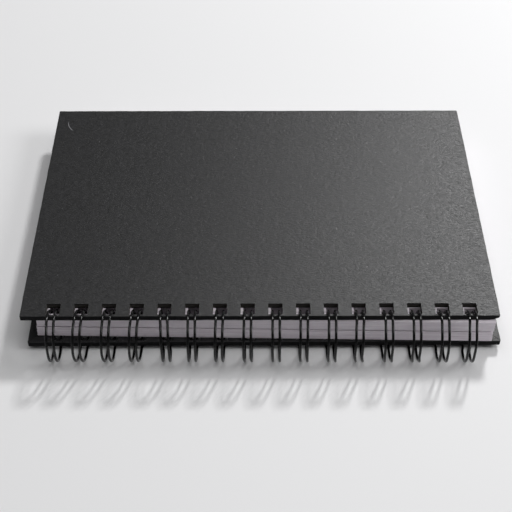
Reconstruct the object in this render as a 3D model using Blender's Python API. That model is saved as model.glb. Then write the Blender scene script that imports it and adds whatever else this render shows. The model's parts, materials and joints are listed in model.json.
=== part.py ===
"""A wire-bound sketchbook, closed and lying flat.

Two paper-covered boards and a block of punched drawing paper turn on one twin-loop wire.
Lengths are metres. +X runs along the spine, +Y from the spine to the fore-edge and +Z up.
The origin is on the table, under the middle of the whole book.
"""
import math

import bmesh
import bpy

MM = 0.001

# Twin-loop wire
LOOP_COUNT = 16
LOOP_PITCH = 12.7 * MM
LOOP_RADIUS = 11.4 * MM  # of the wire's centre line
WIRE_RADIUS = 0.6 * MM
TWIN_SPACING = 3.2 * MM
ROOT_CORNER = 1.4 * MM
ROOT_ANGLE = math.radians(-68.0)  # from +Y towards +Z, under the back cover
TIP_ANGLE = math.radians(-51.0 - 360.0)
LOOP_STEPS = 13
CORNER_STEPS = 2
TIP_STEPS = 4

# The wire's axis, which every cover and sheet turns on
AXIS_Y = -72.1 * MM
AXIS_Z = LOOP_RADIUS + WIRE_RADIUS

# Covers: board, paper wrap turned in over its edges, and a lining panel inside
COVER_WIDTH = 218.6 * MM
COVER_DEPTH = 151.0 * MM
COVER_THICKNESS = 2.8 * MM
WRAP_THICKNESS = 0.35 * MM
TURN_IN = 15.0 * MM
FITTING_GAP = 0.1 * MM
COVER_HOLE = 6.5 * MM
COVER_HOLE_MARGIN = 1.2 * MM  # from the spine edge to the row of holes
BACK_HOLE_DEPTH = 7.2 * MM  # longer, because the back cover lies a little askew on the wire

# Drawing paper, in packets of four leaves
PAGE_WIDTH = 210.0 * MM
PAGE_DEPTH = 148.0 * MM
LEAF_THICKNESS = 0.212 * MM
LEAVES_PER_PACKET = 4
PACKET_GAP = 0.05 * MM
LOWER_PACKETS = 6
UPPER_PACKETS = 7
PAGE_HOLE_WIDTH = 6.0 * MM
PAGE_HOLE_DEPTH = 6.3 * MM
PAGE_HOLE_MARGIN = 2.2 * MM  # from the spine edge to the row of holes

# Heights above the table
BACK_COVER_Z = 2.4 * MM
RESTING_GAP = 0.15 * MM
HALVES_GAP = 0.3 * MM

# How the loose pieces lie on the wire: the spine edge's distance from the axis, the shift
# along the spine of the piece and of its holes, and the small turn about +Z.
BACK_COVER_LIE = {"spine": 2.3 * MM, "shift": 1.1 * MM, "hole_shift": 0.0, "turn": 0.35}
LOWER_PAGES_LIE = {"spine": 4.35 * MM, "shift": 1.0 * MM, "hole_shift": 0.5 * MM, "turn": -0.85}
UPPER_PAGES_LIE = {"spine": 5.15 * MM, "shift": 1.4 * MM, "hole_shift": 0.5 * MM, "turn": -0.85}
FRONT_COVER_LIE = {"spine": 4.85 * MM, "shift": -0.9 * MM, "hole_shift": -0.1 * MM, "turn": 0.25}
LOWER_PAGES_LEAN = 0.65 * MM  # the lowest packet lies this much nearer the wire than the highest


def clear_scene():
    for obj in list(bpy.data.objects):
        bpy.data.objects.remove(obj, do_unlink=True)


def make_collection(name):
    collection = bpy.data.collections.new(name)
    bpy.context.scene.collection.children.link(collection)
    return collection


def make_material(name, color, roughness, metallic=0.0):
    material = bpy.data.materials.new(name)
    material.use_nodes = True
    shader = material.node_tree.nodes["Principled BSDF"]
    shader.inputs["Base Color"].default_value = (*color, 1.0)
    shader.inputs["Roughness"].default_value = roughness
    shader.inputs["Metallic"].default_value = metallic
    material.diffuse_color = (*color, 1.0)
    return material


def make_hinge(name, turn_degrees, parent=None):
    """An empty on the wire's axis that carries one moving group of pieces."""
    hinge = bpy.data.objects.new(name, None)
    hinge.empty_display_type = "SINGLE_ARROW"
    hinge.empty_display_size = 20 * MM
    hinge.location = (0.0, AXIS_Y, AXIS_Z)
    hinge.rotation_euler = (0.0, 0.0, math.radians(turn_degrees))
    parts.objects.link(hinge)
    bpy.context.view_layer.update()
    if parent:
        hinge.parent = parent
        hinge.matrix_parent_inverse = parent.matrix_world.inverted()
    return hinge


def add_box(mesh, low, high):
    """Adds the box between two corners to a bmesh."""
    made = bmesh.ops.create_cube(mesh, size=1.0)
    for vert in made["verts"]:
        for axis in range(3):
            middle = (low[axis] + high[axis]) / 2
            vert.co[axis] = middle + vert.co[axis] * (high[axis] - low[axis])


def box_object(name, boxes, collection, hinge, material=None):
    mesh = bmesh.new()
    for low, high in boxes:
        add_box(mesh, low, high)
    data = bpy.data.meshes.new(name)
    mesh.to_mesh(data)
    mesh.free()
    if material:
        data.materials.append(material)
    obj = bpy.data.objects.new(name, data)
    obj.parent = hinge
    collection.objects.link(obj)
    return obj


def cut(obj, cutter):
    """Takes a cutter out of an object, and keeps the cutter out of the render."""
    cutter.hide_render = True
    cutter.display_type = "WIRE"
    modifier = obj.modifiers.new(cutter.name, "BOOLEAN")
    modifier.operation = "DIFFERENCE"
    modifier.solver = "EXACT"
    modifier.object = cutter


def loop_centres():
    return [(loop - (LOOP_COUNT - 1) / 2) * LOOP_PITCH for loop in range(LOOP_COUNT)]


def add_rectangle(curve, low_x, low_y, high_x, high_y):
    spline = curve.splines.new("POLY")
    spline.points.add(3)
    corners = [(low_x, low_y), (high_x, low_y), (high_x, high_y), (low_x, high_y)]
    for point, (x, y) in zip(spline.points, corners):
        point.co = (x, y, 0.0, 1.0)
    spline.use_cyclic_u = True


def punched_sheet(name, outline, holes, bottom, top, hinge, material):
    """A flat sheet between two heights, from its outline and its hole rectangles."""
    curve = bpy.data.curves.new(name, "CURVE")
    curve.dimensions = "2D"
    curve.fill_mode = "BOTH"
    curve.extrude = (top - bottom) / 2
    add_rectangle(curve, *outline)
    for hole in holes:
        add_rectangle(curve, *hole)
    curve.materials.append(material)
    obj = bpy.data.objects.new(name, curve)
    obj.parent = hinge
    obj.location = (0.0, 0.0, (bottom + top) / 2)
    parts.objects.link(obj)
    return obj


def hole_row(lie, margin, width, depth):
    """The rectangles of one row of square holes, one for each loop of the wire."""
    near = lie["spine"] + margin
    half = width / 2
    shift = lie["hole_shift"]
    return [(x + shift - half, near, x + shift + half, near + depth) for x in loop_centres()]


def outline_of(lie, width, depth, inset=0.0):
    low_x = lie["shift"] - width / 2 + inset
    high_x = lie["shift"] + width / 2 - inset
    return low_x, lie["spine"] + inset, high_x, lie["spine"] + depth - inset


def block(outline, bottom, top):
    """The two corners of the box over an outline."""
    low_x, low_y, high_x, high_y = outline
    return (low_x, low_y, bottom), (high_x, high_y, top)


def build_cover(side, lie, hole_depth, bottom, inside, hinge):
    """A cover: its wrap, its board and its lining panel.

    bottom is the underside's height over the wire's axis. inside is 1 where the inner face
    looks up, as on the back cover, and -1 where it looks down.
    """
    top = bottom + COVER_THICKNESS
    outside_face, inside_face = (bottom, top) if inside > 0 else (top, bottom)
    board_low = bottom + WRAP_THICKNESS + FITTING_GAP
    board_high = top - WRAP_THICKNESS - FITTING_GAP
    over = COVER_THICKNESS  # how far a cutter reaches past a face

    outline = outline_of(lie, COVER_WIDTH, COVER_DEPTH)
    wrap = box_object(f"{side}_wrap", [block(outline, bottom, top)], parts, hinge, black_wrap)
    cavity_low, cavity_high = bottom + WRAP_THICKNESS, top - WRAP_THICKNESS
    cavity_outline = outline_of(lie, COVER_WIDTH, COVER_DEPTH, WRAP_THICKNESS)
    cavity = block(cavity_outline, cavity_low, cavity_high)
    cut(wrap, box_object(f"{side}_board_room", [cavity], cutters, hinge))
    window_outline = outline_of(lie, COVER_WIDTH, COVER_DEPTH, TURN_IN)
    window_from = outside_face + inside * COVER_THICKNESS / 2
    window_to = inside_face + inside * over
    window = block(window_outline, min(window_from, window_to), max(window_from, window_to))
    cut(wrap, box_object(f"{side}_window", [window], cutters, hinge))
    holes = hole_row(lie, COVER_HOLE_MARGIN, COVER_HOLE, hole_depth)
    punches = [block(hole, bottom - over, top + over) for hole in holes]
    cut(wrap, box_object(f"{side}_punches", punches, cutters, hinge))

    board_outline = outline_of(lie, COVER_WIDTH, COVER_DEPTH, WRAP_THICKNESS + FITTING_GAP)
    board_name = f"{side}_board"
    punched_sheet(board_name, board_outline, holes, board_low, board_high, hinge, greyboard)

    panel_outline = outline_of(lie, COVER_WIDTH, COVER_DEPTH, TURN_IN + FITTING_GAP)
    panel_from = (board_high if inside > 0 else board_low) + inside * FITTING_GAP
    panel = block(panel_outline, min(panel_from, inside_face), max(panel_from, inside_face))
    box_object(f"{side}_lining", [panel], parts, hinge, lining_paper)


def build_pages(name, lie, bottom, packets, lean, hinge):
    """A stack of paper packets over a height above the wire's axis. Returns the stack's top."""
    thickness = LEAVES_PER_PACKET * LEAF_THICKNESS
    for packet in range(packets):
        step = packet / (packets - 1)
        nudged = dict(lie, spine=lie["spine"] + lean * step)
        low = bottom + packet * (thickness + PACKET_GAP)
        outline = outline_of(nudged, PAGE_WIDTH, PAGE_DEPTH)
        holes = hole_row(nudged, PAGE_HOLE_MARGIN, PAGE_HOLE_WIDTH, PAGE_HOLE_DEPTH)
        packet_name = f"{name}_{packet + 1:02d}"
        punched_sheet(packet_name, outline, holes, low, low + thickness, hinge, drawing_paper)
    return low + thickness


def loop_point(x, angle):
    return x, LOOP_RADIUS * math.cos(angle), LOOP_RADIUS * math.sin(angle)


def side_angles():
    """The angles of a loop's side, from its root corner right round to its tip."""
    start = ROOT_ANGLE - ROOT_CORNER / LOOP_RADIUS
    step = (TIP_ANGLE - start) / LOOP_STEPS
    return [start + step * number for number in range(LOOP_STEPS + 1)]


def root_corner(x, direction):
    """The rounded corner from the root line into a loop's side at x."""
    points = []
    for step in range(CORNER_STEPS):
        turn = math.pi / 2 * step / CORNER_STEPS
        along = x - direction * ROOT_CORNER * (1 - math.sin(turn))
        back = ROOT_CORNER * (1 - math.cos(turn))
        points.append(loop_point(along, ROOT_ANGLE - back / LOOP_RADIUS))
    return points


def wire_points():
    """One wire: up and down each loop in turn, and along the root to the next."""
    half = TWIN_SPACING / 2
    centres = loop_centres()
    points = []
    for centre in centres:
        left, right = centre - half, centre + half
        first, last = centre == centres[0], centre == centres[-1]
        points += [loop_point(left, ROOT_ANGLE)] if first else root_corner(left, 1)
        points += [loop_point(left, angle) for angle in side_angles()]
        for step in range(1, TIP_STEPS):
            turn = math.pi * step / TIP_STEPS
            reach = TIP_ANGLE - half * math.sin(turn) / LOOP_RADIUS
            points.append(loop_point(centre - half * math.cos(turn), reach))
        points += [loop_point(right, angle) for angle in reversed(side_angles())]
        points += [loop_point(right, ROOT_ANGLE)] if last else root_corner(right, -1)[::-1]
    return points


def build_wire(hinge):
    curve = bpy.data.curves.new("twin_loop_wire", "CURVE")
    curve.dimensions = "3D"
    curve.bevel_depth = WIRE_RADIUS
    curve.bevel_resolution = 2
    curve.use_fill_caps = True
    spline = curve.splines.new("POLY")
    places = wire_points()
    spline.points.add(len(places) - 1)
    for point, place in zip(spline.points, places):
        point.co = (*place, 1.0)
    curve.materials.append(black_wire)
    obj = bpy.data.objects.new("twin_loop_wire", curve)
    obj.parent = hinge
    parts.objects.link(obj)


clear_scene()
parts = make_collection("sketchbook")
cutters = make_collection("cutters")
black_wrap = make_material("black_wrap_paper", (0.022, 0.022, 0.024), 0.55)
lining_paper = make_material("black_lining_paper", (0.03, 0.03, 0.032), 0.7)
greyboard = make_material("greyboard", (0.28, 0.26, 0.24), 0.9)
drawing_paper = make_material("drawing_paper", (0.82, 0.81, 0.8), 0.85)
black_wire = make_material("black_coated_wire", (0.012, 0.012, 0.013), 0.28, 0.3)

back_hinge = make_hinge("back_cover_rest", BACK_COVER_LIE["turn"])
lower_hinge = make_hinge("lower_pages_hinge", LOWER_PAGES_LIE["turn"], back_hinge)
upper_hinge = make_hinge("upper_pages_hinge", UPPER_PAGES_LIE["turn"], lower_hinge)
front_hinge = make_hinge("front_cover_hinge", FRONT_COVER_LIE["turn"], upper_hinge)
wire_hinge = make_hinge("wire_hinge", 0.0, back_hinge)

back_bottom = BACK_COVER_Z - AXIS_Z
build_cover("back", BACK_COVER_LIE, BACK_HOLE_DEPTH, back_bottom, 1, back_hinge)
lower_bottom = back_bottom + COVER_THICKNESS + RESTING_GAP
lower_top = build_pages(
    "lower_leaves", LOWER_PAGES_LIE, lower_bottom, LOWER_PACKETS, LOWER_PAGES_LEAN, lower_hinge
)
upper_bottom = lower_top + HALVES_GAP
upper_top = build_pages(
    "upper_leaves", UPPER_PAGES_LIE, upper_bottom, UPPER_PACKETS, 0.0, upper_hinge
)
front_bottom = upper_top + RESTING_GAP
build_cover("front", FRONT_COVER_LIE, COVER_HOLE, front_bottom, -1, front_hinge)
build_wire(wire_hinge)
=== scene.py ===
import json
import math

import bmesh
import bpy
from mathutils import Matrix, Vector, noise


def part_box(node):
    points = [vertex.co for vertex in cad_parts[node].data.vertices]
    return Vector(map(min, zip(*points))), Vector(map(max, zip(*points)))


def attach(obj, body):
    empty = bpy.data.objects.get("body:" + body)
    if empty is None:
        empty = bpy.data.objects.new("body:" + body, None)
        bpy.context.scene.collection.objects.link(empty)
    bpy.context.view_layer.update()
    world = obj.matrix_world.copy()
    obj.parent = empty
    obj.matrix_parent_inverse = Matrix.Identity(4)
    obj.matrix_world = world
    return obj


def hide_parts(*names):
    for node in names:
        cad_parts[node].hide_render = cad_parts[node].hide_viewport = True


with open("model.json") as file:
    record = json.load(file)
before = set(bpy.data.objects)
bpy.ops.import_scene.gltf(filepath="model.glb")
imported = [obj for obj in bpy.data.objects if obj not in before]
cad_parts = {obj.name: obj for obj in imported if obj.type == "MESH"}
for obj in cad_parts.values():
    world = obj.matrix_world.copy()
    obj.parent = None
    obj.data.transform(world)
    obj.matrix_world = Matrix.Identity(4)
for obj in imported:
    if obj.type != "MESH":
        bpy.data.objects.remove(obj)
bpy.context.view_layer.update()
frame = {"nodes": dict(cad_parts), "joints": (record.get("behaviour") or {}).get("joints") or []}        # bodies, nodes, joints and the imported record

mm = 0.001
print("frame loaded:", len(frame["nodes"]), "nodes")


# helpers shared by several pieces

def hexColour(code, alpha=1.0):
    # sRGB hex to the linear colour that a shader socket takes
    parts = [int(code[i:i + 2], 16) / 255 for i in (1, 3, 5)]
    linear = [c / 12.92 if c <= 0.04045 else ((c + 0.055) / 1.055) ** 2.4 for c in parts]
    return (*linear, alpha)


def addNode(tree, kind, settings=None, inputs=None):
    # one node, with its settings, its input values and the links into it
    node = tree.nodes.new(kind)
    for name, value in (settings or {}).items():
        setattr(node, name, value)
    for key, value in (inputs or {}).items():
        if isinstance(value, bpy.types.NodeSocket):
            tree.links.new(value, node.inputs[key])
        else:
            node.inputs[key].default_value = value
    return node


def newMaterial(name):
    material = bpy.data.materials.new(name)
    material.use_nodes = True
    return material, material.node_tree, material.node_tree.nodes["Principled BSDF"]


def meshObject(name, mesh):
    obj = bpy.data.objects.new(name, mesh)
    bpy.context.scene.collection.objects.link(obj)
    return obj


def fineStops(stops, spacing):
    # the same stops in order, with more between them wherever the gap is wider than the spacing
    stops = sorted(stops)
    filled = [stops[0]]
    for before, after in zip(stops, stops[1:]):
        if after - before < 0.001:
            continue
        steps = max(1, math.ceil((after - before) / spacing))
        filled += [before + (after - before) * step / steps for step in range(1, steps + 1)]
    return filled


def latticeSolid(us, vs, ws, isSolid):
    # a closed skin of square faces round the cells of a lattice that are solid
    shape = bmesh.new()
    corners = {}
    sides = (
        ((-1, 0, 0), ((0, 0, 0), (0, 0, 1), (0, 1, 1), (0, 1, 0))),
        ((1, 0, 0), ((1, 0, 0), (1, 1, 0), (1, 1, 1), (1, 0, 1))),
        ((0, -1, 0), ((0, 0, 0), (1, 0, 0), (1, 0, 1), (0, 0, 1))),
        ((0, 1, 0), ((0, 1, 0), (0, 1, 1), (1, 1, 1), (1, 1, 0))),
        ((0, 0, -1), ((0, 0, 0), (0, 1, 0), (1, 1, 0), (1, 0, 0))),
        ((0, 0, 1), ((0, 0, 1), (1, 0, 1), (1, 1, 1), (0, 1, 1))),
    )
    cells = {}
    for i in range(len(us) - 1):
        for j in range(len(vs) - 1):
            for k in range(len(ws) - 1):
                middle = ((us[i] + us[i + 1]) / 2, (vs[j] + vs[j + 1]) / 2, (ws[k] + ws[k + 1]) / 2)
                if isSolid(*middle):
                    cells[i, j, k] = True
    for i, j, k in cells:
        for (di, dj, dk), quad in sides:
            if (i + di, j + dj, k + dk) in cells:
                continue
            verts = []
            for a, b, c in quad:
                key = (i + a, j + b, k + c)
                if key not in corners:
                    corners[key] = shape.verts.new((us[key[0]], vs[key[1]], ws[key[2]]))
                verts.append(corners[key])
            shape.faces.new(verts)
    return shape


holeBand = {"nearest": 0.8, "furthest": 12.0, "fromSides": 3.0}   # mm, where a plate's holes lie


def holesOf(nodeName, plate):
    # the punched holes of a CAD plate, as their edges along and across it, in mm
    along, across = set(), set()
    side = holeBand["fromSides"]
    for vert in frame["nodes"][nodeName].data.vertices:
        u, v = (value / mm for value in plateUv(plate, vert.co))
        if holeBand["nearest"] < v < holeBand["furthest"] and side < u < plate["width"] / mm - side:
            along.add(round(u, 2))
            across.add(round(v, 2))
    along = sorted(along)
    return list(zip(along[::2], along[1::2])), min(across), max(across)


def bakeModifiers(obj):
    # turns what the modifiers make into the object's own plain mesh
    graph = bpy.context.evaluated_depsgraph_get()
    mesh = bpy.data.meshes.new_from_object(obj.evaluated_get(graph))
    obj.modifiers.clear()
    old = obj.data
    obj.data = mesh
    mesh.name = obj.name
    if old.users == 0 and isinstance(old, bpy.types.Mesh):
        bpy.data.meshes.remove(old)
    return obj


def plateFrame(nodeName):
    # where a flat CAD plate lies: its spine-left corner, its two directions and its sizes
    points = [v.co for v in frame["nodes"][nodeName].data.vertices]
    nearLeft = min(points, key=lambda p: p.x + p.y)
    nearRight = max(points, key=lambda p: p.x - p.y)
    farLeft = min(points, key=lambda p: p.x - p.y)
    along = (nearRight - nearLeft).xy
    across = (farLeft - nearLeft).xy
    low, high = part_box(nodeName)
    return {
        "corner": nearLeft.xy,
        "along": along.normalized(),
        "across": across.normalized(),
        "width": along.length,
        "depth": across.length,
        "bottom": low.z,
        "top": high.z,
    }


def onPlate(plate, u, v, z=0.0):
    # the point u along the spine and v back from it, on a plate
    flat = plate["corner"] + plate["along"] * u + plate["across"] * v
    return Vector((flat.x, flat.y, z))


def plateUv(plate, point):
    # the other way round: how far a point lies along and across a plate
    offset = point.xy - plate["corner"]
    return offset.dot(plate["along"]), offset.dot(plate["across"])


# camera, first, so that every piece can be judged from it

cameraSettings = {
    "focal": 77.0,           # mm
    "sensor": 36.0,
    "place": (-2.22, -325.24, 380.66),  # mm from the wire's axis
    "lookDown": 45.31,       # degrees under level
    "turn": 0.08,            # degrees to the left
}


def wireAxis():
    turning = [joint for joint in frame["joints"] if joint["name"] == "wire_turn"]
    return Vector(turning[0]["pos_m"])


def makeCamera(settings):
    data = bpy.data.cameras.new("camera")
    data.lens = settings["focal"]
    data.sensor_width = settings["sensor"]
    data.clip_start = 0.01
    camera = bpy.data.objects.new("camera", data)
    camera.location = wireAxis() + Vector(settings["place"]) * mm
    tilt = math.radians(90.0 - settings["lookDown"])
    camera.rotation_euler = (tilt, 0.0, math.radians(settings["turn"]))
    bpy.context.scene.collection.objects.link(camera)
    bpy.context.scene.camera = camera
    bpy.context.scene.view_settings.view_transform = "Standard"


makeCamera(cameraSettings)
print("camera placed")


# materials

coverPaper = {
    "ink": "#070708",
    "worn": "#1a1a1c",
    "fleck": "#7d7d80",
    "mottleSize": 2.6,       # mm across a soft cloud of the grain
    "fibreLength": 2.2,
    "fibreWidth": 0.45,      # coarser than the real 0.05 mm fibre, so that it shows
    "roughness": 0.425,
    "roughnessSwing": 0.07,
    "gloss": 0.5,
    "grainDepth": 0.33,      # mm, deeper than real so that it shows
    "fibreShare": 0.62,      # of the grain that is fibre; the rest is mottle
    "tonesBetween": (0.42, 0.68),       # the grain's height at full ink and at full wear
    "roughBetween": (0.35, 0.7),
    "fleckSpacing": 3.2,     # mm
    "fleckAbove": 0.86,      # so about one cell in seven holds a fleck
    "fleckStrength": 0.7,
    "mitreInk": "#020202",
    "mitreSink": -8.0,       # how far a mitre's cut goes under the grain
}


def makeCoverPaper(name, settings, scratchAt=None, mitreOn=None):
    # black covering paper, pulp-dyed and calendered: matt, with short fibres and a few pale flecks
    material, tree, shader = newMaterial(name)
    place = addNode(tree, "ShaderNodeTexCoord").outputs["Object"]
    mottle = addNode(tree, "ShaderNodeTexNoise", None, {
        "Vector": place, "Scale": 1000 / settings["mottleSize"], "Detail": 5.0, "Roughness": 0.65,
    })
    fibres = None
    for number, angle in enumerate((22.0, -38.0, 81.0)):
        laid = addNode(tree, "ShaderNodeMapping", None, {
            "Vector": place,
            "Rotation": (0.0, 0.0, math.radians(angle)),
            "Scale": (1000 / settings["fibreLength"], 1000 / settings["fibreWidth"], 900.0),
            "Location": (number * 3.7, number * 1.9, 0.0),
        })
        strand = addNode(tree, "ShaderNodeTexNoise", None, {
            "Vector": laid.outputs["Vector"], "Scale": 1.0, "Detail": 2.0, "Distortion": 0.4,
        })
        if fibres is None:
            fibres = strand.outputs["Fac"]
        else:
            fibres = addNode(tree, "ShaderNodeMath", {"operation": "MAXIMUM"}, {
                0: fibres, 1: strand.outputs["Fac"],
            }).outputs["Value"]
    share = settings["fibreShare"]
    grain = addNode(tree, "ShaderNodeMath", {"operation": "MULTIPLY_ADD"}, {
        0: fibres, 1: share, 2: addNode(tree, "ShaderNodeMath", {"operation": "MULTIPLY"}, {
            0: mottle.outputs["Fac"], 1: 1 - share,
        }).outputs["Value"],
    }).outputs["Value"]
    tone = addNode(tree, "ShaderNodeMapRange", None, {
        "Value": grain, "From Min": settings["tonesBetween"][0], "From Max": settings["tonesBetween"][1],
    }).outputs["Result"]
    colour = addNode(tree, "ShaderNodeMix", {"data_type": "RGBA"}, {
        "Factor": tone, 6: hexColour(settings["ink"]), 7: hexColour(settings["worn"]),
    }).outputs[2]
    # pale flecks, each at the middle of a cell
    cells = addNode(tree, "ShaderNodeTexVoronoi", None, {
        "Vector": place, "Scale": 1000 / settings["fleckSpacing"],
    })
    pick = addNode(tree, "ShaderNodeSeparateColor", None, {"Color": cells.outputs["Color"]})
    near = addNode(tree, "ShaderNodeMapRange", None, {
        "Value": cells.outputs["Distance"], "From Min": 0.09, "From Max": 0.03,
    }).outputs["Result"]
    chosen = addNode(tree, "ShaderNodeMath", {"operation": "GREATER_THAN"}, {
        0: pick.outputs["Red"], 1: settings["fleckAbove"],
    }).outputs["Value"]
    fleck = addNode(tree, "ShaderNodeMath", {"operation": "MULTIPLY"}, {
        0: near, 1: chosen,
    }).outputs["Value"]
    fleck = addNode(tree, "ShaderNodeMath", {"operation": "MULTIPLY"}, {
        0: fleck, 1: settings["fleckStrength"],
    }).outputs["Value"]
    if scratchAt:
        fleck = addScratch(tree, place, scratchAt, fleck)
    colour = addNode(tree, "ShaderNodeMix", {"data_type": "RGBA"}, {
        "Factor": fleck, 6: colour, 7: hexColour(settings["fleck"]),
    }).outputs[2]
    if mitreOn:
        mitre = addMitre(tree, place, mitreOn)
        colour = addNode(tree, "ShaderNodeMix", {"data_type": "RGBA"}, {
            "Factor": mitre, 6: colour, 7: hexColour(settings["mitreInk"]),
        }).outputs[2]
        grain = addNode(tree, "ShaderNodeMath", {"operation": "MULTIPLY_ADD"}, {
            0: mitre, 1: settings["mitreSink"], 2: grain,
        }).outputs["Value"]
    tree.links.new(colour, shader.inputs["Base Color"])
    shader.inputs["Specular IOR Level"].default_value = settings["gloss"]
    rough = addNode(tree, "ShaderNodeMapRange", None, {
        "Value": grain,
        "From Min": settings["roughBetween"][0], "From Max": settings["roughBetween"][1],
        "To Min": settings["roughness"] - settings["roughnessSwing"],
        "To Max": settings["roughness"] + settings["roughnessSwing"],
    }).outputs["Result"]
    tree.links.new(rough, shader.inputs["Roughness"])
    bump = addNode(tree, "ShaderNodeBump", None, {
        "Height": grain, "Strength": 1.0, "Distance": settings["grainDepth"] * mm,
    })
    tree.links.new(bump.outputs["Normal"], shader.inputs["Normal"])
    return material


def addScratch(tree, place, spot, fleck):
    # one short curved scratch through the black, down to the pale pulp
    local = addNode(tree, "ShaderNodeMapping", {"vector_type": "TEXTURE"}, {
        "Vector": place, "Location": spot["at"], "Rotation": (0.0, 0.0, math.radians(spot["turn"])),
    })
    axes = addNode(tree, "ShaderNodeSeparateXYZ", None, {"Vector": local.outputs["Vector"]})
    bow = addNode(tree, "ShaderNodeMath", {"operation": "POWER"}, {0: axes.outputs["Y"], 1: 2.0})
    bend = addNode(tree, "ShaderNodeMath", {"operation": "MULTIPLY_ADD"}, {
        0: bow.outputs["Value"], 1: -spot["bend"], 2: axes.outputs["X"],
    })
    off = addNode(tree, "ShaderNodeMath", {"operation": "ABSOLUTE"}, {0: bend.outputs["Value"]})
    line = addNode(tree, "ShaderNodeMapRange", None, {
        "Value": off.outputs["Value"], "From Min": spot["width"], "From Max": spot["width"] * 0.3,
    })
    length = addNode(tree, "ShaderNodeMath", {"operation": "ABSOLUTE"}, {0: axes.outputs["Y"]})
    ends = addNode(tree, "ShaderNodeMapRange", None, {
        "Value": length.outputs["Value"],
        "From Min": spot["length"] / 2, "From Max": spot["length"] * 0.3,
    })
    mark = addNode(tree, "ShaderNodeMath", {"operation": "MULTIPLY"}, {
        0: line.outputs["Result"], 1: ends.outputs["Result"],
    })
    return addNode(tree, "ShaderNodeMath", {"operation": "MAXIMUM"}, {
        0: fleck, 1: mark.outputs["Value"],
    }).outputs["Value"]


def addMitre(tree, place, plate):
    # the cut lines at the four corners where one turned-in flap of paper laps the next
    middle = onPlate(plate, plate["width"] / 2, plate["depth"] / 2)
    heading = math.atan2(plate["along"].y, plate["along"].x)
    local = addNode(tree, "ShaderNodeMapping", {"vector_type": "TEXTURE"}, {
        "Vector": place, "Location": middle, "Rotation": (0.0, 0.0, heading),
    })
    axes = addNode(tree, "ShaderNodeSeparateXYZ", None, {"Vector": local.outputs["Vector"]})
    insets = []
    for axis, half in (("X", plate["width"] / 2), ("Y", plate["depth"] / 2)):
        away = addNode(tree, "ShaderNodeMath", {"operation": "ABSOLUTE"}, {0: axes.outputs[axis]})
        insets.append(addNode(tree, "ShaderNodeMath", {"operation": "SUBTRACT"}, {
            0: half, 1: away.outputs["Value"],
        }).outputs["Value"])
    apart = addNode(tree, "ShaderNodeMath", {"operation": "SUBTRACT"}, {0: insets[0], 1: insets[1]})
    off = addNode(tree, "ShaderNodeMath", {"operation": "ABSOLUTE"}, {0: apart.outputs["Value"]})
    gap = coverWrap["mitreGap"] * mm
    return addNode(tree, "ShaderNodeMapRange", None, {
        "Value": off.outputs["Value"], "From Min": gap * 0.8, "From Max": gap * 0.4,
    }).outputs["Result"]


boardCore = {
    "dark": "#34322f",
    "light": "#4f4c48",
    "flakeSize": 4.0,        # mm along a ply
    "plySize": 0.3,          # mm from ply to ply
    "roughness": 0.9,
    "grainDepth": 0.08,
}


def makeBoardCore(name, settings):
    # grey binder's board: pressed in plies, so a punched edge shows faint layers
    material, tree, shader = newMaterial(name)
    place = addNode(tree, "ShaderNodeTexCoord").outputs["Object"]
    layered = addNode(tree, "ShaderNodeMapping", None, {
        "Vector": place,
        "Scale": (1000 / settings["flakeSize"], 1000 / settings["flakeSize"], 1000 / settings["plySize"]),
    })
    plies = addNode(tree, "ShaderNodeTexNoise", None, {
        "Vector": layered.outputs["Vector"], "Scale": 1.0, "Detail": 4.0,
    })
    colour = addNode(tree, "ShaderNodeMix", {"data_type": "RGBA"}, {
        "Factor": plies.outputs["Fac"], 6: hexColour(settings["dark"]), 7: hexColour(settings["light"]),
    })
    tree.links.new(colour.outputs[2], shader.inputs["Base Color"])
    shader.inputs["Roughness"].default_value = settings["roughness"]
    bump = addNode(tree, "ShaderNodeBump", None, {
        "Height": plies.outputs["Fac"], "Strength": 0.7, "Distance": settings["grainDepth"] * mm,
    })
    tree.links.new(bump.outputs["Normal"], shader.inputs["Normal"])
    return material


drawingPaper = {
    "white": "#f3edf3",
    "shade": "#e0d7e0",
    "toothSize": 0.8,        # mm, coarser than the real 0.2 mm tooth
    "toothDepth": 0.02,
    "streaks": (30.0, 30.0, 2300.0),    # per metre: long on the leaves' edges, broad clouds on their faces
    "roughness": 0.85,
    "gloss": 0.25,
}


def makeDrawingPaper(name, settings):
    # uncoated cartridge paper: bright and matt, with a soft tooth, each leaf's edge a little different
    material, tree, shader = newMaterial(name)
    place = addNode(tree, "ShaderNodeTexCoord").outputs["Object"]
    tooth = addNode(tree, "ShaderNodeTexNoise", None, {
        "Vector": place, "Scale": 1000 / settings["toothSize"], "Detail": 4.0,
    })
    layered = addNode(tree, "ShaderNodeMapping", None, {
        "Vector": place, "Scale": settings["streaks"],
    })
    sheets = addNode(tree, "ShaderNodeTexNoise", None, {
        "Vector": layered.outputs["Vector"], "Scale": 1.0, "Detail": 2.0,
    })
    blend = addNode(tree, "ShaderNodeMapRange", None, {
        "Value": sheets.outputs["Fac"], "From Min": 0.35, "From Max": 0.65,
    })
    colour = addNode(tree, "ShaderNodeMix", {"data_type": "RGBA"}, {
        "Factor": blend.outputs["Result"],
        6: hexColour(settings["shade"]), 7: hexColour(settings["white"]),
    })
    tree.links.new(colour.outputs[2], shader.inputs["Base Color"])
    shader.inputs["Roughness"].default_value = settings["roughness"]
    shader.inputs["Specular IOR Level"].default_value = settings["gloss"]
    bump = addNode(tree, "ShaderNodeBump", None, {
        "Height": tooth.outputs["Fac"], "Strength": 0.5, "Distance": settings["toothDepth"] * mm,
    })
    tree.links.new(bump.outputs["Normal"], shader.inputs["Normal"])
    return material


nylonWire = {
    "black": "#050506",
    "smoothest": 0.09,       # roughness
    "roughest": 0.26,
    "ior": 1.53,
    "gloss": 0.28,
    "waveSize": 4.0,         # mm
    "waveDepth": 0.05,
}


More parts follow.
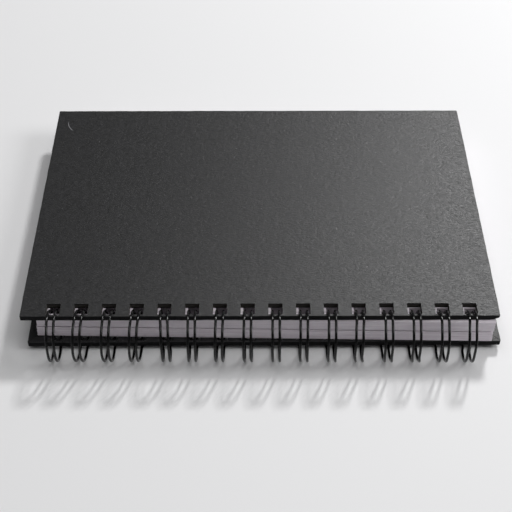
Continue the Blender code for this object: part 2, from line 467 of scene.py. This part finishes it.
def makeNylonWire(name, settings):
    # steel wire under a dipped black nylon coat: smooth and glossy, with a slightly uneven skin
    material, tree, shader = newMaterial(name)
    place = addNode(tree, "ShaderNodeTexCoord").outputs["Object"]
    skin = addNode(tree, "ShaderNodeTexNoise", None, {
        "Vector": place, "Scale": 1000 / settings["waveSize"], "Detail": 3.0,
    })
    rough = addNode(tree, "ShaderNodeMapRange", None, {
        "Value": skin.outputs["Fac"], "To Min": settings["smoothest"], "To Max": settings["roughest"],
    })
    tree.links.new(rough.outputs["Result"], shader.inputs["Roughness"])
    shader.inputs["Base Color"].default_value = hexColour(settings["black"])
    shader.inputs["IOR"].default_value = settings["ior"]
    shader.inputs["Specular IOR Level"].default_value = settings["gloss"]
    bump = addNode(tree, "ShaderNodeBump", None, {
        "Height": skin.outputs["Fac"], "Strength": 0.2, "Distance": settings["waveDepth"] * mm,
    })
    tree.links.new(bump.outputs["Normal"], shader.inputs["Normal"])
    return material


scratch = {
    "at": (-104.0 * mm, 69.5 * mm, 0.0),
    "turn": 24.0,            # degrees
    "bend": 55.0,            # per metre
    "length": 9.0 * mm,
    "width": 0.28 * mm,
}
rubbedEdge = {"ink": "#080809", "roughness": 0.8, "gloss": 0.15}
liningPaper = {"roughness": 0.62, "mottleSize": 3.4}
frontPaper = makeCoverPaper("blackCoveringPaperFront", coverPaper, scratch)
backPaper = makeCoverPaper("blackCoveringPaperBack", coverPaper)
rubbedPaper = makeCoverPaper("rubbedCoveringPaper", {**coverPaper, **rubbedEdge})
liningMaterial = makeCoverPaper("blackLiningPaper", {**coverPaper, **liningPaper})
coreMaterial = makeBoardCore("greyBindersBoard", boardCore)
leafMaterial = makeDrawingPaper("uncoatedCartridgePaper", drawingPaper)
wireMaterial = makeNylonWire("nylonCoatedSteelWire", nylonWire)
print("materials made")


# covers: wrap and board built again with worn, rounded edges; the lining stays as it is

coverWrap = {
    "paper": 0.35,           # mm
    "fittingGap": 0.1,
    "turnIn": 15.0,
    "edgeRadius": 0.26,      # paper pulled round the board
    "cornerRadius": 0.7,
    "spacing": 3.0,          # between the lattice's lines
    "waviness": 0.16,        # in and out along the edges
    "waveLength": 9.0,
    "waveBand": 1.4,         # how far in from the edge the waves reach
    "innerLine": 2.3,
    "mitreGap": 0.45,
    "sharpAngle": 38.0,      # degrees
    "flatNormal": 0.6,       # a face that looks up or down by more than this is not a rubbed side
}

# mm, where the front cover's right spine corner took a knock
crushedCorner = {"reach": 3.2, "rise": 1.5}


def inHole(holes, u, v):
    rows, near, far = holes
    return near < v < far and any(left < u < right for left, right in rows)


def cartonLattice(plate, holes, settings, board):
    # the paper wrap, or the board inside it, over the plate's own u, v and height in mm
    width, depth = plate["width"] / mm, plate["depth"] / mm
    thick = (plate["top"] - plate["bottom"]) / mm
    paper, turnIn, edge = settings["paper"], settings["turnIn"], settings["edgeRadius"]
    inset = paper + settings["fittingGap"] if board else 0.0
    rim = [inset] if board else [0.0, edge / 3, edge * 2 / 3, edge, paper]
    stops = rim + [settings["cornerRadius"], settings["waveBand"], settings["innerLine"], turnIn]
    us = [u for u in stops] + [width - u for u in stops]
    us += [edgeOf for pair in holes[0] for edgeOf in pair]
    vs = [v for v in stops] + [depth - v for v in stops] + [holes[1], holes[2]]
    ws = rim + [thick - w for w in rim]

    def isSolid(u, v, w):
        if inHole(holes, u, v):
            return False
        fromEdge = min(u, v, width - u, depth - v)
        if board:
            return True
        if paper < w < thick - paper:
            return fromEdge < paper
        onInside = w > thick / 2 if plate["insideUp"] else w < thick / 2
        return fromEdge < turnIn or not onInside

    spacing = settings["spacing"]
    return latticeSolid(fineStops(us, spacing), fineStops(vs, spacing), sorted(ws), isSolid)


def wearCarton(shape, plate, settings, damage):
    # rounds the edges and corners, waves the outline, crushes a corner, then lays it in its place
    width, depth = plate["width"] / mm, plate["depth"] / mm
    thick = (plate["top"] - plate["bottom"]) / mm
    edge, corner, band = settings["edgeRadius"], settings["cornerRadius"], settings["waveBand"]
    for vert in shape.verts:
        u, v, w = vert.co
        inset = min(u, v, width - u, depth - v)
        height = min(w, thick - w)
        if inset < edge and height < edge:
            reach = max(edge - inset, edge - height)
            pull = reach / max(math.hypot(edge - inset, edge - height), 1e-9)
            sideways = (edge - inset) * (1 - pull)
            upwards = (edge - height) * (1 - pull)
            u += sideways * ((u < edge) - (width - u < edge))
            v += sideways * ((v < edge) - (depth - v < edge))
            w += upwards if w < thick / 2 else -upwards
        cornerU = corner if u < width / 2 else width - corner
        cornerV = corner if v < depth / 2 else depth - corner
        outU = (cornerU - u) * (1 if u < width / 2 else -1)
        outV = (cornerV - v) * (1 if v < depth / 2 else -1)
        if outU > 0 and outV > 0:
            pull = max(outU, outV) / math.hypot(outU, outV)
            u = cornerU + (u - cornerU) * pull
            v = cornerV + (v - cornerV) * pull
        if inset < band:
            phase = Vector((u, v, plate["top"] * 900)) / settings["waveLength"]
            push = noise.noise(phase) + 0.5 * noise.noise(phase * 2.7)
            push *= settings["waviness"] * (1 - inset / band)
            if min(u, width - u) < min(v, depth - v):
                u += push if u > width / 2 else -push
            else:
                v += push if v > depth / 2 else -push
        if damage:
            away = math.hypot(width - u, v)
            if away < damage["reach"]:
                w += damage["rise"] * (1 - w / thick) * (1 - away / damage["reach"])
        vert.co = onPlate(plate, u * mm, v * mm, plate["bottom"] + w * mm)


def makeCover(side, body, insideUp, paper, settings, damage=None):
    plate = plateFrame(f"{side}_wrap")
    plate["insideUp"] = insideUp
    holes = holesOf(f"{side}_wrap", plate)
    for part, board, material in (("wrap", False, paper), ("board", True, coreMaterial)):
        shape = cartonLattice(plate, holes, settings, board)
        wearCarton(shape, plate, settings, damage)
        mesh = bpy.data.meshes.new(f"{side}{part.capitalize()}")
        shape.to_mesh(mesh)
        shape.free()
        piece = meshObject(mesh.name, mesh)
        piece.data.materials.append(material)
        if not board:
            piece.data.materials.append(rubbedPaper)
            turnedIn = makeCoverPaper(f"{side}TurnedInPaper", coverPaper, None, plate)
            piece.data.materials.append(turnedIn)
            for face in piece.data.polygons:
                if abs(face.normal.z) < settings["flatNormal"]:
                    face.material_index = 1
                elif (face.normal.z > 0) == insideUp:
                    face.material_index = 2
        piece.data.shade_smooth()
        piece.data.set_sharp_from_angle(angle=math.radians(settings["sharpAngle"]))
        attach(piece, body)
        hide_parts(f"{side}_{part}")
        print(piece.name, "faces:", len(piece.data.polygons))
    node = frame["nodes"][f"{side}_lining"]
    node.data.materials.clear()
    node.data.materials.append(liningMaterial)


makeCover("front", "front_cover", False, frontPaper, coverWrap, crushedCorner)
makeCover("back", "back_cover", True, backPaper, coverWrap)
print("covers made")


# drawing paper: single leaves, knocked nearly square

leafStack = {
    "leavesPerPacket": 4,
    "leafShare": 0.96,       # of each leaf's pitch that is paper
    "slipAlong": 0.16,       # mm, how far a leaf strays along the spine
    "slipAcross": 0.025,
    "twist": 0.006,          # degrees
    "gapEase": 0.17,         # mm by which each half draws back from the other, where the book was opened
    "seed": 11,
}


def leafTree(name):
    # repeats one leaf up the stack, each strayed a little from the last
    tree = bpy.data.node_groups.new(name, "GeometryNodeTree")
    face = tree.interface
    face.new_socket("Geometry", in_out="INPUT", socket_type="NodeSocketGeometry")
    for label, kind in (
        ("Leaves", "NodeSocketInt"), ("Rise", "NodeSocketVector"), ("Slip", "NodeSocketVector"),
        ("Twist", "NodeSocketFloat"), ("Pivot", "NodeSocketVector"), ("Seed", "NodeSocketInt"),
        ("Material", "NodeSocketMaterial"),
    ):
        face.new_socket(label, in_out="INPUT", socket_type=kind)
    face.new_socket("Geometry", in_out="OUTPUT", socket_type="NodeSocketGeometry")
    given = addNode(tree, "NodeGroupInput").outputs
    line = addNode(tree, "GeometryNodeMeshLine", {"mode": "OFFSET"}, {
        "Count": given["Leaves"], "Offset": given["Rise"],
    })
    placed = addNode(tree, "GeometryNodeInstanceOnPoints", None, {
        "Points": line.outputs["Mesh"], "Instance": given["Geometry"],
    })
    least = addNode(tree, "ShaderNodeVectorMath", {"operation": "SCALE"}, {
        0: given["Slip"], "Scale": -1.0,
    })
    stray = addNode(tree, "FunctionNodeRandomValue", {"data_type": "FLOAT_VECTOR"}, {
        0: least.outputs["Vector"], 1: given["Slip"], "Seed": given["Seed"],
    })
    moved = addNode(tree, "GeometryNodeTranslateInstances", None, {
        "Instances": placed.outputs["Instances"], "Translation": stray.outputs[0],
    })
    low = addNode(tree, "ShaderNodeMath", {"operation": "MULTIPLY"}, {0: given["Twist"], 1: -1.0})
    turn = addNode(tree, "FunctionNodeRandomValue", {"data_type": "FLOAT"}, {
        2: low.outputs["Value"], 3: given["Twist"], "Seed": given["Seed"],
    })
    spin = addNode(tree, "ShaderNodeCombineXYZ", None, {"Z": turn.outputs[1]})
    turned = addNode(tree, "GeometryNodeRotateInstances", None, {
        "Instances": moved.outputs["Instances"], "Rotation": spin.outputs["Vector"],
        "Pivot Point": given["Pivot"], "Local Space": False,
    })
    solid = addNode(tree, "GeometryNodeRealizeInstances", None, {
        "Geometry": turned.outputs["Instances"],
    })
    finished = addNode(tree, "GeometryNodeSetMaterial", None, {
        "Geometry": solid.outputs["Geometry"], "Material": given["Material"],
    })
    addNode(tree, "NodeGroupOutput", None, {"Geometry": finished.outputs["Geometry"]})
    return tree


def giveTree(obj, tree, values):
    # adds the tree as a modifier and sets its inputs by the sockets' identifiers
    modifier = obj.modifiers.new(tree.name, "NODES")
    modifier.node_group = tree
    for item in tree.interface.items_tree:
        if item.in_out == "INPUT" and item.name in values:
            modifier[item.identifier] = values[item.name]


def makeLeaves(stack, body, tree, settings):
    packets = sorted(n for n in frame["nodes"] if n.startswith(f"{stack}_leaves_"))
    perPacket = settings["leavesPerPacket"]
    low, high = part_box(packets[0])
    lastLow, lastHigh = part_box(packets[-1])
    count = perPacket * len(packets)
    bottom, top = low.z, lastHigh.z
    if stack == "lower":
        top -= settings["gapEase"] * mm
    else:
        bottom += settings["gapEase"] * mm
    pitch = (top - bottom) / count
    lean = (lastLow - low) / (len(packets) - 1) / perPacket
    plate = plateFrame(packets[0])
    holes = holesOf(packets[0], plate)
    us = [0.0, plate["width"] / mm] + [u for pair in holes[0] for u in pair]
    vs = [0.0, holes[1], holes[2], plate["depth"] / mm]
    thick = pitch / mm * settings["leafShare"]
    shape = latticeSolid(sorted(us), vs, [0.0, thick], lambda u, v, w: not inHole(holes, u, v))
    for vert in shape.verts:
        u, v, w = vert.co * mm
        vert.co = onPlate(plate, u, v, bottom + w)
    mesh = bpy.data.meshes.new(f"{stack}Leaves")
    shape.to_mesh(mesh)
    shape.free()
    leaf = meshObject(mesh.name, mesh)
    middle = (low + high) / 2
    giveTree(leaf, tree, {
        "Leaves": count,
        "Rise": (lean.x, lean.y, pitch),
        "Slip": (settings["slipAlong"] * mm, settings["slipAcross"] * mm, 0.0),
        "Twist": math.radians(settings["twist"]),
        "Pivot": (middle.x, low.y, 0.0),
        "Seed": settings["seed"] + len(packets),
        "Material": leafMaterial,
    })
    bakeModifiers(leaf)
    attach(leaf, body)
    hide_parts(*packets)
    print(stack, "leaves:", count)


leaves = leafTree("leafStack")
makeLeaves("lower", "lower_pages", leaves, leafStack)
makeLeaves("upper", "upper_pages", leaves, leafStack)


# twin-loop wire: one line bent into sixteen double loops, then given its round section

twinLoop = {
    "loops": 16,
    "pitch": 12.7,           # mm, two loops to the inch
    "radius": 11.4,
    "thickness": 1.2,
    "twinSpacing": 3.2,
    "rootCorner": 1.4,
    "rootAngle": -68.0,      # degrees from +Y, where the wire runs along the spine
    "tipAngle": -411.0,      # where each double loop's closed end starts
    "sideSteps": 56,
    "bendSteps": 7,
    "sides": 14,
    "sharpAngle": 50.0,
    # mm that handling has bent each loop sideways, at its front and low down at its foot
    "frontLean": (
        0.8, -0.6, -0.4, -0.7, 1.3, 0.3, -0.4, -0.3,
        0.0, -0.3, -0.4, -1.1, -0.4, -0.7, -0.8, -1.5,
    ),
    "footLean": (
        0.6, -0.3, -0.1, -0.6, 1.1, 0.1, -0.2, 0.2,
        0.2, 0.1, 0.1, -0.2, 0.3, 0.2, -0.3, -1.2,
    ),
}


def leanAt(angle, front, foot):
    # how far a loop is bent sideways, from its root round past its foot and front to the holes
    stops = (                # degrees from +Y, and the bend there
        (-68, 0.0), (-90, 0.6 * foot), (-135, foot),
        (-180, front), (-226, 0.7 * front), (-300, 0.0),
    )
    degrees = math.degrees(angle)
    if degrees >= stops[0][0] or degrees <= stops[-1][0]:
        return 0.0
    for (start, before), (end, after) in zip(stops, stops[1:]):
        if degrees >= end:
            share = (degrees - start) / (end - start)
            return before + (after - before) * share * share * (3 - 2 * share)


def wirePath(settings):
    # the centre line, unrolled as x along the spine and an angle round the loops
    half = settings["twinSpacing"] / 2
    corner = settings["rootCorner"]
    radius = settings["radius"]
    root, tip = math.radians(settings["rootAngle"]), math.radians(settings["tipAngle"])
    sideStart = root - corner / radius
    flat = []
    for loop in range(settings["loops"]):
        centre = (loop - (settings["loops"] - 1) / 2) * settings["pitch"]
        rising, falling = [], []
        for step in range(settings["bendSteps"]):
            turn = math.pi / 2 * step / settings["bendSteps"]
            inset = corner * (1 - math.sin(turn))
            back = corner * (1 - math.cos(turn)) / radius
            rising.append((centre - half - inset, root - back))
            falling.append((centre + half + inset, root - back))
        if loop == 0:
            rising = [(centre - half, root)]
        if loop == settings["loops"] - 1:
            falling = [(centre + half, root)]
        for step in range(settings["sideSteps"] + 1):
            angle = sideStart + (tip - sideStart) * step / settings["sideSteps"]
            rising.append((centre - half, angle))
            falling.append((centre + half, angle))
        closedEnd = []
        for step in range(1, 2 * settings["bendSteps"]):
            turn = math.pi * step / (2 * settings["bendSteps"])
            closedEnd.append((centre - half * math.cos(turn), tip - half * math.sin(turn) / radius))
        front, foot = settings["frontLean"][loop], settings["footLean"][loop]
        line = rising + closedEnd + falling[::-1]
        flat += [(x + leanAt(angle, front, foot), angle) for x, angle in line]
    axis = wireAxis()
    return [
        axis + Vector((x, radius * math.cos(angle), radius * math.sin(angle))) * mm
        for x, angle in flat
    ]


def wireTree(name):
    # sweeps a round section along the line
    tree = bpy.data.node_groups.new(name, "GeometryNodeTree")
    face = tree.interface
    face.new_socket("Geometry", in_out="INPUT", socket_type="NodeSocketGeometry")
    for label, kind in (
        ("Radius", "NodeSocketFloat"), ("Sides", "NodeSocketInt"), ("Material", "NodeSocketMaterial"),
    ):
        face.new_socket(label, in_out="INPUT", socket_type=kind)
    face.new_socket("Geometry", in_out="OUTPUT", socket_type="NodeSocketGeometry")
    given = addNode(tree, "NodeGroupInput").outputs
    line = addNode(tree, "GeometryNodeMeshToCurve", None, {"Mesh": given["Geometry"]})
    section = addNode(tree, "GeometryNodeCurvePrimitiveCircle", None, {
        "Resolution": given["Sides"], "Radius": given["Radius"],
    })
    tube = addNode(tree, "GeometryNodeCurveToMesh", None, {
        "Curve": line.outputs["Curve"], "Profile Curve": section.outputs["Curve"], "Fill Caps": True,
    })
    smooth = addNode(tree, "GeometryNodeSetShadeSmooth", None, {"Geometry": tube.outputs["Mesh"]})
    solid = addNode(tree, "GeometryNodeRealizeInstances", None, {
        "Geometry": smooth.outputs["Geometry"],
    })
    finished = addNode(tree, "GeometryNodeSetMaterial", None, {
        "Geometry": solid.outputs["Geometry"], "Material": given["Material"],
    })
    addNode(tree, "NodeGroupOutput", None, {"Geometry": finished.outputs["Geometry"]})
    return tree


def makeWire(settings):
    points = wirePath(settings)
    mesh = bpy.data.meshes.new("twinLoopWire")
    mesh.from_pydata(points, [(i, i + 1) for i in range(len(points) - 1)], [])
    wire = meshObject("twinLoopWire", mesh)
    giveTree(wire, wireTree("sweptWire"), {
        "Radius": settings["thickness"] / 2 * mm, "Sides": settings["sides"],
        "Material": wireMaterial,
    })
    bakeModifiers(wire)
    wire.data.set_sharp_from_angle(angle=math.radians(settings["sharpAngle"]))
    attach(wire, "wire")
    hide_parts("twin_loop_wire")
    print("wire faces:", len(wire.data.polygons))


makeWire(twinLoop)


# floor and lights

studio = {
    "floor": "#e8e8e9",
    "floorSize": 8.0,        # metres
    "floorGap": 0.05,        # mm left under the wire
    "floorRoughness": 0.6,
    "aim": 60.0,             # mm back from the wire's axis, where every light points
    "lights": {              # places in metres from the wire's axis
        "window": {"place": (0.6, 1.35, 1.25), "size": 0.25, "power": 20.5},
        "ceiling": {"place": (0.0, 0.1, 1.8), "size": 1.8, "power": 10.5},
        "rightWall": {"place": (1.5, -0.1, 1.1), "size": 0.9, "power": 13.0},
    },
    "sky": 0.12,
}


def makeFloor(settings):
    # the book rests on its loops and the back cover's fore-edge, so the floor slopes a little
    wireBottom = wireAxis() - Vector((0, 0, wireAxis().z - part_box("twin_loop_wire")[0].z))
    plate = plateFrame("back_wrap")
    foreEdge = onPlate(plate, plate["width"] / 2, plate["depth"], plate["bottom"])
    slope = (foreEdge.z - wireBottom.z) / (foreEdge.y - wireBottom.y)
    bpy.ops.mesh.primitive_plane_add(size=settings["floorSize"])
    floor = bpy.context.object
    floor.name = "floor"
    floor.rotation_euler = (math.atan(slope), 0, 0)
    floor.location = wireBottom - Vector((0, 0, settings["floorGap"] * mm))
    material, tree, shader = newMaterial("paintedTable")
    shader.inputs["Base Color"].default_value = hexColour(settings["floor"])
    shader.inputs["Roughness"].default_value = settings["floorRoughness"]
    floor.data.materials.append(material)


def makeLight(name, place, target, size, power):
    data = bpy.data.lights.new(name, "AREA")
    data.shape = "DISK"
    data.size = size
    data.energy = power
    light = bpy.data.objects.new(name, data)
    light.location = place
    light.rotation_euler = (target - Vector(place)).to_track_quat("-Z", "Y").to_euler()
    bpy.context.scene.collection.objects.link(light)


def makeStudio(settings):
    axis = wireAxis()
    target = axis + Vector((0, settings["aim"] * mm, 0))
    for name, light in settings["lights"].items():
        makeLight(name, axis + Vector(light["place"]), target, light["size"], light["power"])
    world = bpy.data.worlds.new("studio")
    bpy.context.scene.world = world
    world.use_nodes = True
    background = world.node_tree.nodes["Background"]
    background.inputs["Color"].default_value = (1, 1, 1, 1)
    background.inputs["Strength"].default_value = settings["sky"]


makeFloor(studio)
makeStudio(studio)
print("floor and lights placed")
